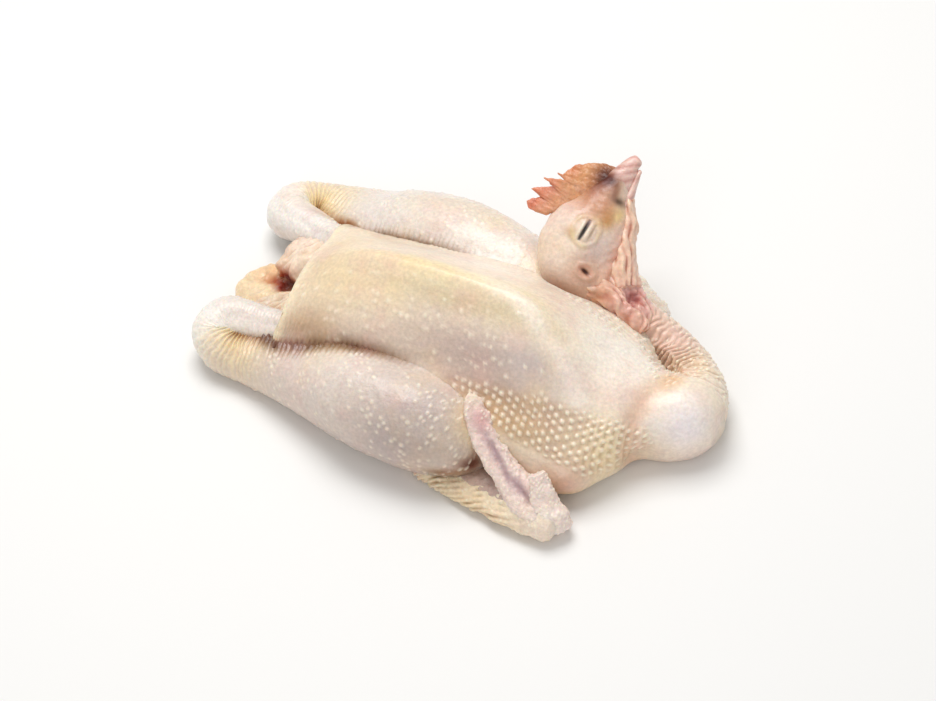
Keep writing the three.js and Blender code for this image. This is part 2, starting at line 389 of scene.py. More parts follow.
# The far drumstick's skin leans in over its shank.
far_leg[5:9, 1] -= [1, 3.5, 4, 2]
far_leg[5:9, 3] += [1, 4, 4.5, 2]
neck_rows = rounds(
    [
        [118, -3, 20, 11],
        [130, 4, 20, 14.5],
        [138, 15, 18.5, 16.5],
        [135, 28, 16, 14.5],
        [126, 39, 14.5, 13.5],
        [112, 49, 16.5, 12.5],
        [97, 53, 24, 11.5],
        [84, 55, 33, 10],
    ]
)
skin = (0.94, 0.87, 0.775)
pale = (0.99, 0.955, 0.905)
fat_yellow = (0.95, 0.84, 0.60)
mauve = (0.68, 0.58, 0.555)
# Brown of the painted shade in the folds between the legs and the body.
shade_brown = (0.38, 0.23, 0.12)

around = 286
trunk = trunk_grid(340, around)
to_near, to_far, to_neck = (gap(trunk, rows) for rows in (near_leg, far_leg, neck_rows))
forward = np.clip(trunk[..., 0] / 40, 0, 1)
rise = fillet(to_near, 5 + 13 * forward) + fillet(to_far, 14) + fillet(to_neck, 18)
rise += 0.9 * ripple(trunk, 46, 1) + 0.35 * ripple(trunk, 17, 2) + 0.14 * ripple(trunk, 7, 3)
rise += 5 * blob(trunk, (97, -56, 15), (16, 12, 12))  # the upper arm
rise += 1.8 * blob(trunk, (50, -24, 66), (36, 13, 12))  # the near breast muscle
rise -= 2.0 * blob(trunk, (10, -46, 44), (60, 7, 9))  # the dip above the near thigh
rise -= 7 * blob(trunk, (127, -30, 10), (7, 12, 14))  # the notch between shoulder and crop
rise -= 9 * blob(trunk, (52, -62, 14), (14, 12, 14))  # the hollow behind the hand of the wing
# The full crop bulges at the foot of the neck, with a soft groove round it.
crop = np.linalg.norm(trunk - np.array([134, -10, 20]), axis=2)
crop_valley = np.exp(-(((crop - 26) / 5) ** 2)) * np.clip((136 - trunk[..., 0]) / 10, 0, 1)
rise += 1.2 * blob(trunk, (140, -5, 34), (15, 15, 12)) - 1.8 * crop_valley
# The skin is drawn tight over the edge of the keel, and pinched in wrinkles beside the near leg.
keel = rounds([[-44, -1, 73, 1], [-4, 2, 77, 1], [30, 0, 79.5, 1], [49, -5, 79, 1],
    [66, -14, 70, 1], [82, -22, 58, 1], [92, -30, 48, 1]])
to_keel = gap(trunk, keel)
rise += 1.5 * np.exp(-((to_keel / 7) ** 2))
pinch = np.exp(-((to_near / 6) ** 2)) * np.clip(-trunk[..., 0] / 25, 0, 1)
wrinkle = np.sin(2 * np.pi * (trunk[..., 0] + 1.4 * ripple(trunk, 9, 7)) / 3.2)
rise += pinch * (0.75 * wrinkle - 0.6)
smooth_trunk = shaped(trunk, rise)
u, v = measure(smooth_trunk, around // 2)
u, v = u + 1.6 * ripple(trunk, 34, 4), v + 1.6 * ripple(trunk, 34, 5) + 0.35 * u
# Follicles: a coarse lattice on the near shoulder, where its rows run together into ridges, a
# line of beads beside the neck, and a few tips elsewhere.
flank = rounds([[28, -50, 52, 6], [48, -51, 50, 8], [64, -51, 47, 10], [80, -49, 43, 12],
    [96, -47, 38, 13], [110, -43, 32, 14], [122, -34, 24, 13]])
coarse = np.clip(0.7 - gap(trunk, flank) / 5, 0, 1)
shoulder = np.clip((trunk[..., 0] - 84) / 24, 0, 1)
sparse = np.clip(blob(trunk, (8, -24, 60), (84, 24, 24)) * 1.3, 0, 1) * (1 - coarse)
crest = rounds([[64, 28, 57, 7], [78, 27, 50, 8], [88, 29, 44, 8], [98, 31, 36, 8],
    [110, 27, 32, 8], [121, 13, 36, 8]])
beads = np.clip(0.9 - gap(trunk, crest) / 6, 0, 1)
share = 0.04 + 0.27 * sparse + 0.75 * beads + 0.10 * np.clip(0.2 + ripple(trunk, 30, 6), 0, 1)
pitch = 5.2
stretch = 1.6
tips = follicles(u, v, pitch, np.maximum(share, coarse * 1.5), stretch)
ridges = 0.5 - 0.5 * np.cos(4 * np.pi * u / pitch / stretch)
relief = tips * (0.6 + 0.75 * coarse + 0.7 * beads) + coarse * (0.15 + 0.95 * shoulder) * ridges
surface = shaped(smooth_trunk, relief)
colour = paint(
    surface,
    skin,
    [
        ((102, 8, 50), (36, 38, 26), pale, 0.85),
        ((112, -14, 42), (16, 14, 14), (0.95, 0.79, 0.735), 0.35),
        ((0, 34, 58), (70, 16, 16), (0.97, 0.925, 0.885), 0.65),
        ((-10, 20, 74), (40, 7, 7), (0.93, 0.80, 0.745), 0.35),
        # Olive-tan band below the keel edge: partly the skin's own tone, partly painted shadow
        # under the edge.
        ((22, -12, 74), (48, 8, 8), (0.79, 0.71, 0.55), 0.75),
        # Mauve-grey near side: partly the skin's own tone, partly painted shade on the plane below
        # the keel.
        ((34, -31, 60), (50, 14, 15), mauve, 0.66),
        ((48, -42, 50), (34, 9, 10), (0.66, 0.55, 0.52), 0.6),
        ((64, -28, 62), (20, 8, 11), (0.76, 0.70, 0.69), 0.5),
        # Yellow band on the keel: partly fat under the skin, partly a painted highlight on the
        # ridge.
        ((0, 1, 80), (56, 8, 10), (0.965, 0.89, 0.67), 0.85),
        ((-40, -14, 66), (26, 14, 12), fat_yellow, 0.35),
        ((-62, 2, 56), (22, 34, 20), (0.90, 0.78, 0.60), 0.6),
        # Brown at the rear of the near leg's crease: painted shade.
        ((-58, -34, 42), (16, 10, 11), (0.68, 0.52, 0.39), 0.75),
        ((-22, -38, 46), (28, 10, 10), (0.73, 0.63, 0.585), 0.6),
        ((56, -54, 44), (28, 12, 12), (0.84, 0.70, 0.52), 0.75),
        ((112, -40, 26), (16, 16, 18), (0.99, 0.90, 0.72), 0.85),
        ((119, -34, 27), (9, 11, 10), (1.0, 0.94, 0.78), 0.7),
        ((18, 24, 72), (32, 14, 12), (0.97, 0.88, 0.78), 0.5),
        ((99, -62, 18), (16, 12, 12), (0.87, 0.71, 0.62), 0.9),
        ((100, -64, 5), (18, 12, 6), (0.93, 0.74, 0.48), 0.7),
        # Dark brown between the thigh and the hand of the wing: painted shadow.
        ((62, -63, 14), (14, 10, 13), (0.36, 0.20, 0.11), 0.95),
        ((128, -28, 18), (10, 9, 10), (0.90, 0.72, 0.60), 0.5),
        ((124, -20, 32), (14, 16, 12), (0.985, 0.935, 0.88), 0.7),
        # Near-white front of the crop: partly its pale skin, partly a painted highlight.
        ((143, -8, 30), (14, 14, 15), (1.0, 0.955, 0.965), 0.95),
        ((128, 8, 38), (6, 7, 6), (0.92, 0.72, 0.50), 0.75),
        # Greyer pink under the crop: painted shade.
        ((146, -4, 8), (16, 16, 8), (0.92, 0.82, 0.80), 0.6),
    ],
)
# Painted highlight along the front of the keel ridge.
colour = tinted(colour, 0.55 * np.exp(-((to_keel / 4.5) ** 2)) * forward, (0.99, 0.945, 0.90))
# Painted shade: darker tan in the grooves between the follicle ridges of the shoulder.
groove_shade = coarse * (1 - tips) * (1 - 0.85 * shoulder)
colour = tinted(colour, 0.42 * groove_shade, (0.66, 0.49, 0.34))
colour = tinted(colour, 0.3 * coarse * shoulder * (1 - ridges), (0.72, 0.56, 0.38))
# Painted shade in the groove round the crop.
colour = tinted(colour, 0.5 * crop_valley, (0.88, 0.70, 0.56))
# Painted shade: brown in the troughs of the wrinkles pinched beside the near leg.
colour = tinted(colour, 0.5 * pinch * np.clip(-wrinkle, 0, 1), (0.56, 0.38, 0.23))
# Painted shade in the folds where the legs meet the body: broad along the near one at the back, a
# thin line along the far one.
crease = 1.5 * np.exp(-((to_near / 4.0) ** 2)) * np.clip(0.2 - trunk[..., 0] / 40, 0, 1)
crease *= np.clip(0.7 + wrinkle / 3, 0, 1)
crease += 0.8 * np.exp(-((to_far / 1.8) ** 2)) * (trunk[..., 0] < -30)
colour = tinted(colour, crease, shade_brown)
rim = np.exp(-(((trunk[..., 0] + 80) / 3) ** 2)) * (trunk[..., 2] > 34)
colour = tinted(colour, 0.6 * rim, (0.985, 0.92, 0.78))
rings_inside = 52  # the flesh within the belly opening
colour[:rings_inside] = (0.42, 0.13, 0.09)
breast_skin = skin_finish("breast skin", 0.38, 0.55, 0.25)
piece("breast", surface, colour, tips * (0.75 + 0.25 * coarse), breast_skin)

# ---- Legs ----
# Each is one skin from the knee, down the drumstick, round the white knob of the hock and back
# along the shank, which ends inside the belly. The skin puckers where the hock is folded.
def limb(rows, along, around, up=(0, 0, 1), caps=(0.05, 0.05)):
    """Rings square to a smooth path, each an oval, narrowing to a round end over each cap."""
    k = np.linspace(0, 1, along + 2)[1:-1]
    t = k - 0.1 * np.sin(2 * np.pi * k) / (2 * np.pi)
    rows_at = curve(rows, t)
    tangents = curve(rows, np.minimum(t + 0.004, 1)) - curve(rows, np.maximum(t - 0.004, 0))
    side = np.cross(up, tangents[:, :3])
    side /= np.linalg.norm(side, axis=1, keepdims=True)
    rise = np.cross(tangents[:, :3], side)
    rise /= np.linalg.norm(rise, axis=1, keepdims=True)
    opening = np.minimum(1, np.minimum(t / caps[0], (1 - t) / caps[1]))
    shut = np.sqrt(1 - (1 - opening) ** 2)[:, None]
    angle = (-np.pi / 2 + 2 * np.pi * np.arange(around) / around)[None]
    width, height, depth = (rows_at[:, c : c + 1] * shut for c in (3, 4, 5))
    across, lift = oval(angle, width, height, depth, 2.0)
    centre = rows_at[:, None, :3]
    grid = centre + across[..., None] * side[:, None] + lift[..., None] * rise[:, None]
    return grid, t, angle


leg_skin = skin_finish("leg skin", 0.38, 1.0, 0.25)
body_core = trunk_rows[6:14]  # without the belly opening and the crop
for name, rows in (("leg_near", near_leg), ("leg_far", far_leg)):
    # Along each leg t runs from 0 to 1: drumstick to 0.63, hock at 0.69, shank from 0.72.
    grid, t, angle = limb(rows, 470, 205)
    u, v = measure(grid, 0)
    drum = np.clip((0.63 - t) / 0.05, 0, 1)[:, None]
    shank = np.clip((t - 0.72) / 0.05, 0, 1)[:, None]
    hock = curve(rows, np.array([0.69]))[0, :3]
    pit = curve(rows, np.array([0.56, 0.82]))[:, :3].mean(0)
    to_body = gap(grid, body_core)
    rise = 0.9 * ripple(grid, 40, 8) + 0.35 * ripple(grid, 14, 9) + 0.12 * ripple(grid, 6, 10)
    rise += fillet(to_body, 8) * drum
    to_shank = gap(grid, rows[12:])
    to_drum = gap(grid, rows[5:10])
    rise += fillet(to_shank, 12) * drum + fillet(to_drum, 10) * shank
    pucker = blob(grid, pit + [-2, 0, 2], (24, 19, 16)) * np.clip((0.72 - t) / 0.07, 0, 1)[:, None]
    folds = np.sin(2 * np.pi * (u + 2.2 * ripple(grid, 18, 11) + 0.6 * ripple(grid, 5, 17)) / 3.4)
    rise += 0.85 * pucker * folds
    rings = np.sin(2 * np.pi * (u + 0.8 * ripple(grid, 10, 12)) / 2.2)
    rise += 0.2 * shank * rings * np.clip(0.7 + ripple(grid, 12, 13), 0, 1)
    rise += 1.6 * blob(grid, hock + [-5, 0, 3], (9, 12, 10))
    rise += 1.4 * blob(grid, hock + [4, 9, 8], (7, 6, 6))
    rise += 1.4 * blob(grid, hock + [6, -9, 2], (8, 6, 7))
    rise -= 0.9 * np.exp(-(((angle - np.pi / 2 - 0.6) / 0.35) ** 2)) * shank  # tendon groove
    pinch = np.exp(-((to_body / 6) ** 2)) * drum * np.clip(-grid[..., 0] / 25, 0, 1)
    wrinkle = np.sin(2 * np.pi * (grid[..., 0] + 1.4 * ripple(grid, 9, 14)) / 3.2)
    rise += 0.75 * pinch * wrinkle
    bare = np.clip(blob(grid, hock, 30) * 1.6, 0, 1)
    share = (0.27 + 0.4 * np.clip(ripple(grid, 26, 15), -0.5, 1)) * (1 - bare)
    share = share * (1 - np.exp(-((to_body / 5) ** 2))) + 0 * u
    tips = follicles(u, v, 4.8, share)
    surface = shaped(shaped(grid, rise), tips * 0.6)
    near = name == "leg_near"
    colour = paint(
        surface,
        (0.87, 0.80, 0.745) if near else (0.91, 0.86, 0.82),
        [
            (rows[5, :3] + [0, 0, 16], (28, 20, 16), (0.92, 0.89, 0.87), 0.6),
            (rows[3, :3] + [8, -10, 4], (26, 22, 20), (0.56, 0.50, 0.51) if near else pale, 0.85),
            (rows[4, :3] + [0, -18, -8], (26, 12, 12), (0.76, 0.69, 0.655), 0.6 if near else 0),
            (rows[2, :3] + [10, -16, -10], (16, 12, 10), (0.83, 0.815, 0.765), 0.7),
            (rows[1, :3] + [2, -2, 12], (14, 12, 12), (0.88, 0.75, 0.53), 0.85),
            (rows[4, :3] + [-6, 4, 22], (44, 12, 9), (0.90, 0.80, 0.63), 0 if near else 0.35),
            (rows[8, :3] + [0, 0, 6], (18, 14, 12), (0.94, 0.86, 0.72), 0.7),
            # Painted shadow: dark brown along the near thigh's lower edge, where it hangs over the
            # wing.
            ((44, -74, 13), (20, 7, 6), (0.42, 0.27, 0.17), 0.8 if near else 0),
            ((38, -80, 19), (11, 6, 3.5), (0.46, 0.28, 0.17), 0.85 if near else 0),
            ((50, -73, 24), (8, 6, 5), (0.38, 0.18, 0.10), 1.0 if near else 0),
            (hock + [-3, 0, 2], (17, 20, 19), (1.0, 0.985, 0.955), 0.95),
            (rows[14, :3], (22, 12, 12), (0.99, 0.975, 0.95), 0.9),
        ],
    )
    colour = tinted(colour, pucker * (0.55 + 0.35 * folds), (0.955, 0.83, 0.54))
    # Painted shade: darker brown in the troughs of the puckers round the hock.
    colour = tinted(colour, 0.45 * pucker * np.clip(-folds, 0, 1), (0.70, 0.52, 0.28))
    # Painted shade: brown in the wrinkle troughs beside the body, along the crease at the body, and
    # in the fold between drumstick and shank.
    colour = tinted(colour, 0.75 * pinch * np.clip(-wrinkle, 0, 1), (0.56, 0.38, 0.23))
    seam_shade = 1.4 * np.exp(-((to_body / 4.0) ** 2)) * np.clip(0.2 - grid[..., 0] / 40, 0, 1) * drum
    hollow = np.exp(-((to_shank / 4.4) ** 2)) * drum + np.exp(-((to_drum / 2.8) ** 2)) * shank
    knob = blob(surface, hock + [-8, -4, 2], (13, 14, 13))
    colour = tinted(colour, 0.6 * knob, (1.0, 0.985, 0.955))
    colour = tinted(colour, 0.95 * hollow, (0.52, 0.31, 0.16))
    colour = tinted(colour, seam_shade * np.clip(0.7 + wrinkle / 3, 0, 1), shade_brown)
    if not near:
        shade = blob(surface, (-102, 54, 34), (10, 4, 4))
        shade += blob(surface, (-90, 52, 31), (13, 3.2, 3))
        colour = tinted(colour, shade * (drum + 0.2), (0.56, 0.33, 0.15))
    piece(name, surface, colour, tips * 0.7, leg_skin)

# ---- Hock webs ----
# Thin skin stretched in the fold between each drumstick and its shank. It fills the fold, and its
# brown colour is painted shade, for the fold always lies in the shade.
webs = {
    "web_near": [[-112, -37, 13, 7, 4, 4], [-100, -37, 16, 8, 5, 5], [-84, -38, 20, 8, 5, 5]],
    "web_far": [[-116, 63, 12, 9, 4, 4], [-104, 61, 16, 12, 5, 5], [-88, 58, 22, 13, 6, 6],
        [-70, 53, 28, 12, 6, 6]],
}
for name, rows in webs.items():
    grid, t, angle = limb(np.array(rows, float), 90, 70, caps=(0.2, 0.2))
    creases = np.sin(2 * np.pi * measure(grid, 0)[0] / 3)
    surface = shaped(grid, 0.6 * ripple(grid, 9, 16) + 0.3 * creases)
    piece(name, surface, paint(surface, (0.52, 0.33, 0.19), []), 0, leg_skin)

# ---- Neck ----
# A tube of loose skin that leaves the breast over the full crop and folds back round the
# shoulder to the head. Where it bends it puckers in rings.
grid, t, angle = limb(neck_rows, 330, 140, caps=(0.1, 0.05))
u, v = measure(grid, 0)
inner = blob(grid, (118, 28, 26), (22, 22, 18))
outer = blob(grid, (140, 34, 14), (26, 26, 16))
rings = np.clip((t - 0.20) / 0.12, 0, 1)[:, None] * np.ones(angle.shape)
wobble = 3.2 * ripple(grid, 17, 17) + 1.2 * ripple(grid, 6, 18)
pleats = np.sin(2 * np.pi * (u + wobble) / 4.2)
uneven = np.clip(0.65 + 0.8 * ripple(grid, 16, 35), 0.15, 1)
rise = rings * (0.25 + 0.5 * inner) * uneven * (pleats + 0.4 * np.abs(ripple(grid, 5, 19)))
rise += fillet(gap(grid, trunk_rows[12:19]), 6)
rise += 0.7 * ripple(grid, 30, 20) + 0.25 * ripple(grid, 8, 21)
beads = np.clip(0.1 + 0.9 * outer, 0, 1) * rings
tips = follicles(u, v, 4.0, beads)
surface = shaped(shaped(grid, rise), 0.7 * tips)
colour = paint(
    surface,
    (0.955, 0.885, 0.80),
    [
        # Near-white where the neck leaves the crop: partly pale skin, partly a painted highlight;
        # greyer pink under it is painted shade.
        ((143, -6, 34), (13, 15, 12), (0.995, 0.945, 0.955), 0.9),
        ((146, -8, 10), (18, 14, 9), (0.93, 0.82, 0.79), 0.6),
        ((128, 10, 36), (7, 7, 7), (0.92, 0.72, 0.50), 0.75),
        # Yellow-brown on the inner side of the neck's bend: painted shade.
        ((124, 26, 24), (10, 14, 12), (0.78, 0.64, 0.52), 0.65),
        ((110, 40, 30), (16, 12, 13), (0.86, 0.69, 0.61), 0.75),
        ((112, 50, 24), (14, 8, 10), (0.95, 0.78, 0.72), 0.6),
        ((94, 50, 38), (12, 12, 12), (0.90, 0.70, 0.62), 0.8),
    ],
)
shade = rings * np.clip(-pleats, 0, 1) * (0.25 + 0.75 * inner)
colour = tinted(colour, 0.75 * shade * uneven, (0.52, 0.37, 0.28))
bare_skin = skin_finish("bare skin", 0.40, 0.7, 0.18)
piece("neck", surface, colour, tips, bare_skin)

# ---- Wings ----
# Folded wing: the forearm and its web of skin lie on the table, the hand is bent back up on it
# and ends in a blunt finger, and the cut thumb stands beside the wrist.
wing_skin = skin_finish("wing skin", 0.40, 1.8, 0.25)


def line(start, end, sizes):
    """Rows on a straight line: each size is (share of the way, half width, height, depth)."""
    start, end = np.array(start, float), np.array(end, float)
    return np.array([[*(start + (end - start) * s[0]), *s[1:]] for s in sizes])


def wing(side, suffix, elbow, wrist, tip, thumb_root, thumb_tip, up, wide, bow):
    """Forearm, web, hand and thumb: ovals with rows of quill follicles and their own tints. The
    hand faces up, is wide times as broad as it is drawn, and bends back by bow millimetres."""
    lift = np.array([0, 0, 1])
    forearm = line(elbow, wrist, [(0, 3.5, 3, 3), (0.2, 8, 4.5, 4), (0.5, 11.5, 6, 5),
        (0.85, 12, 7.5, 7), (1.04, 8.5, 7, 7)])
    web = line(np.array(elbow) + [18, -9 * side, 3], np.array(wrist) + [-12, -9 * side, 6],
        [(0, 5, 3, 4), (0.35, 11, 4.6, 6), (0.75, 11, 5.6, 6), (1, 6, 5.5, 5)])
    hand = line(wrist, tip, [(-0.05, 7.5, 7, 7), (0.12, 8.4, 6.5, 6), (0.35, 7.8, 5, 5),
        (0.6, 7.2, 4, 4), (0.83, 6, 3.2, 3.2), (1, 3.2, 2.2, 2.2)])
    hand[:, 0] -= bow * np.sin(np.pi * np.array([0, 0.12, 0.35, 0.6, 0.83, 1]))
    hand[:, 3] *= wide
    thumb = line(thumb_root, thumb_tip, [(-0.1, 6, 6, 6), (0.3, 5.8, 4.6, 5), (0.75, 5.2, 3.4, 4),
        (1, 4.6, 2.6, 3)])
    parts = {"forearm": (forearm, lift, 190, 100, 0.12), "wing_web": (web, lift, 90, 70, 0.2),
        "hand": (hand, up, 170, 100, 0.1), "thumb": (thumb, up, 80, 70, 0.05)}
    tints = {"forearm": (0.945, 0.86, 0.73), "wing_web": (0.76, 0.645, 0.60),
        # The far hand's near white: partly its pale skin, partly painted light that lifts it out of
        # shade.
        "hand": (0.915, 0.81, 0.775) if side < 0 else (1.0, 0.96, 0.88),
        "thumb": (0.95, 0.865, 0.82)}
    for part, (rows, upward, count, around, cap) in parts.items():
        grid, t, angle = limb(rows, count, around, up=upward, caps=(0.12, cap))
        u, v = measure(grid, 0)
        rise = 0.7 * ripple(grid, 18, 22) + 0.5 * ripple(grid, 7, 23) + 0.25 * ripple(grid, 3, 24)
        for other, (other_rows, other_up, *_) in parts.items():
            if other != part:
                rise += fillet(gap(grid, other_rows, other_up), 8)
        shade = 0 * u
        share = 0.75 + 0.3 * ripple(grid, 12, 25)
        if part == "forearm":
            slant = v + 0.16 * u + 1.3 * ripple(grid, 20, 26)
            quills = np.sin(2 * np.pi * slant / 3.1) * np.clip(0.6 + ripple(grid, 10, 27), 0.1, 1)
            quills *= np.clip(np.minimum(t, 0.8 - t) / 0.14, 0, 1)[:, None]
            rise += 0.8 * quills
            shade = 0.75 * np.clip(-quills, 0, 1) ** 2
            share = 0.3 + 0.3 * ripple(grid, 12, 25)
        if part == "hand" and side < 0:
            turned = angle - np.pi / 2  # from the middle of the upper side
            trough = np.exp(-(((turned - 0.1 - 0.35 * ripple(grid, 16, 28)) / 0.26) ** 2))
            trough *= np.clip((0.72 - t) / 0.2, 0, 1)[:, None]
            edge = np.exp(-(((turned + 0.85) / 0.4) ** 2))
            rag = np.exp(-(((turned - 1.3) / 0.5) ** 2))
            rise += 1.1 * edge - 1.6 * trough + 1.3 * rag * ripple(grid, 4, 29)
            shade = 0.8 * trough * np.clip(0.8 + ripple(grid, 9, 34), 0, 1)
            share = 0.4 * (1 - trough)
        if part == "wing_web":
            share = 0.1 + 0 * u
        tips = follicles(u, v, 3.2, share)
        surface = shaped(shaped(grid, rise), 0.45 * tips)
        touches = [(np.array(wrist, float), (17, 15, 12), (0.955, 0.88, 0.84), 0.9)]
        # Painted shadow: dark brown on the near web and forearm where they lie under the thigh.
        if part in ("wing_web", "forearm") and side < 0:
            touches += [((48, -62, 12), (20, 8, 10), (0.50, 0.34, 0.23), 0.9)]
        if part == "hand" and side < 0:
            touches += [(rows[4, :3] + [3, 0, -3], (7, 7, 7), (0.88, 0.58, 0.58), 0.6),
                (rows[5, :3], (7, 7, 7), (0.97, 0.90, 0.80), 0.9)]
        colour = paint(surface, tints[part], touches)
        deep = (0.58, 0.40, 0.23) if part == "forearm" else (0.58, 0.45, 0.48)
        colour = tinted(colour, shade, deep)
        if part == "hand" and side < 0:
            colour = tinted(colour, 0.5 * (edge + rag), (0.97, 0.90, 0.83))
        piece(f"{part}_{suffix}", surface, colour, 0.8 * tips, wing_skin)


wing(-1, "near", (5, -67, 4), (98, -81, 9), (42, -52, 54), (101, -80, 8), (87, -71, 33),
    (0.3, -0.6, 0.7), 1.0, 10.5)
wing(1, "far", (24, 64, 9), (95, 70, 11), (68, 98, 10), (88, 62, 12), (78, 66, 14),
    (0, 0, 1), 0.7, 0)

# ---- Tail and vent ----
# The parson's nose lies lowest, with the fleshy lip and fold of the vent above it, all of soft
# wrinkled skin. Where the three meet there is a dark red pit.
tail_limbs = {
    "tail_nose": [[-70, 4, 14, 26, 12, 13], [-90, 4, 12, 26, 9, 11], [-106, 4, 10.5, 24, 6.5, 10],
        [-119, 2, 9, 22, 4.5, 9], [-130, -2, 8, 16, 3.5, 7.5]],
    "vent_lip": [[-66, 24, 27, 16, 14, 13], [-84, 25, 24, 18, 13, 12], [-100, 26, 20, 17, 11.5, 11],
        [-112, 29, 16, 13.5, 9.5, 10]],
    "vent_fold": [[-70, -12, 26, 13, 9, 9], [-88, -12, 22, 13, 7, 9], [-101, -11, 18, 11.5, 6, 8],
        [-112, -10, 14.5, 9, 5, 7]],
}
tail_tints = {"tail_nose": (0.955, 0.86, 0.70), "vent_lip": (0.965, 0.875, 0.79),
    "vent_fold": (0.91, 0.82, 0.71)}
for name, rows in tail_limbs.items():
    rows = np.array(rows, float)
    grid, t, angle = limb(rows, 130, 110, caps=(0.05, 0.25))
    u, v = measure(grid, 0)
    rise = 1.2 * ripple(grid, 16, 30) + 0.6 * ripple(grid, 7, 31) + 0.25 * ripple(grid, 3, 32)
    lines = np.sin(2 * np.pi * (u + 0.5 * v + 4 * ripple(grid, 14, 33)) / 5)
    lines *= np.clip(0.6 + ripple(grid, 9, 36), 0, 1)
    loose = 0.4 if name == "tail_nose" else 1.0
    rise += 0.8 * loose * lines
    for other, other_rows in tail_limbs.items():
        if other != name:
            rise += fillet(gap(grid, np.array(other_rows, float)), 5)
    pit = blob(grid, (-101, 9, 17), (6, 5, 6.5))
    cleft = blob(grid, (-110, 12, 16), (8, 3.5, 9))
    rise -= 4 * pit + 2.5 * cleft
    surface = shaped(grid, rise)
    colour = paint(
        surface,
        tail_tints[name],
        [
            ((-114, 24, 24), (8, 12, 9), (0.90, 0.75, 0.60), 0.7),
            ((-100, 38, 24), (10, 8, 10), (0.80, 0.69, 0.62), 0.6),
            ((-116, 18, 12), (10, 8, 8), (0.93, 0.72, 0.52), 0.7),
        ],
    )
    colour = tinted(colour, 0.4 * loose * np.clip(-lines, 0, 1), (0.70, 0.52, 0.40))
    colour = tinted(colour, 1.1 * cleft, (0.66, 0.32, 0.17))
    colour = tinted(colour, 2.1 * pit, (0.40, 0.03, 0.015))
    piece(name, surface, colour, 0.7 * follicles(u, v, 3.8, 0.2 + 0 * u), bare_skin)

# ---- Head ----
# Bare-skinned head on its left cheek: pale skin over the skull, an eye shut to a slit between
# two swollen lids, and a round ear hole. Sizes here are in the head's own frame, with X to the
# tip of the beak and Z to the top of the comb.
head_turn = np.array([[0.125, -0.321, -0.939], [0.794, 0.597, -0.099], [0.594, -0.731, 0.331]])
head_middle = np.array([57, 66, 58])


def from_head(points):
    """Points of the head's own frame, turned and moved to where the head lies. The columns of
    the turn are the ways that the head's X, Y and Z point on the bird."""
    return points @ head_turn.T + head_middle


skull_rows = np.array(
    [
        [-30, 0, -12, 10, 12, 13],
        [-24, 0, -6, 13.5, 18.5, 17],
        [-14, 0, -1, 15, 22.5, 19],
        [-3, 0, 3, 15.5, 25, 20],
        [8, 0, 3, 15, 23, 20],
        [18, 0, 2.5, 12, 17, 16.5],
        [28, 0, 2, 9, 12, 11],
        [37, 0, 1, 6, 7, 7],
        [42, 0, 0, 4, 4, 4],
    ]
)
grid = limb(skull_rows, 260, 240)[0]
x, y, z = grid[..., 0], grid[..., 1], grid[..., 2]
eye_x, eye_z = 5.2, 6.6
# Ring is the distance from the middle of the eye, over the height above it, and share falls to
# nothing at the corners of the lids.
ring = np.hypot((x - eye_x) / 1.15, z - eye_z) + 0.9 * ripple(grid, 11, 45)
over = z - eye_z + 0.1 * (x - eye_x)
share = np.clip(1 - ((x - eye_x) / 6.4) ** 2, 0, 1)
side_mask = np.clip(np.abs(y) / 6 - 0.5, 0, 1)
opening = np.exp(-(((over - 0.9) / 0.75) ** 2)) * np.sqrt(share)
lids = 1.7 * np.exp(-((ring / 8.0) ** 2)) + 0.25 * np.exp(-(((ring - 7.4) / 0.9) ** 2))
lids -= 0.35 * np.exp(-(((ring - 8.9) / 1.2) ** 2)) + 0.25 * np.exp(-(((ring - 5.6) / 0.6) ** 2))
lids += 0.6 * np.exp(-(((over - 2.7) / 0.8) ** 2)) * share - 1.7 * opening
lids += 0.5 * np.exp(-(((over + 1.2) / 0.8) ** 2)) * share
lids -= 0.5 * np.exp(-(((over + 3.2) / 0.5) ** 2)) * share
ear = np.hypot(x + 14.4, (z + 2.3) / 1.25)
ear_hole = np.exp(-(((x + 14.6 - 0.25 * (z + 2.3)) / 1.0) ** 2) - ((z + 2.3) / 2.6) ** 2)
lids += 0.9 * np.exp(-(((ear - 4.0) / 1.4) ** 2)) - 1.9 * ear_hole
rise = side_mask * lids
rise += 0.6 * ripple(grid, 18, 40) + 0.25 * ripple(grid, 7, 41) + 0.1 * ripple(grid, 3, 42)
rise -= 1.5 * side_mask * blob(grid, (-5, 0, -8), (8, 40, 6))
lore = blob(grid, (25, 0, 6), (9, 30, 9))
rise += 0.4 * lore * ripple(grid, 5, 43)
jaw = np.clip((-z - 7) / 8, 0, 1) * (x > -24)
rise += 0.4 * jaw * np.sin(2 * np.pi * (z * 0.9 + 0.35 * x + 3 * ripple(grid, 14, 44)) / 4.2)
surface = shaped(grid, rise)
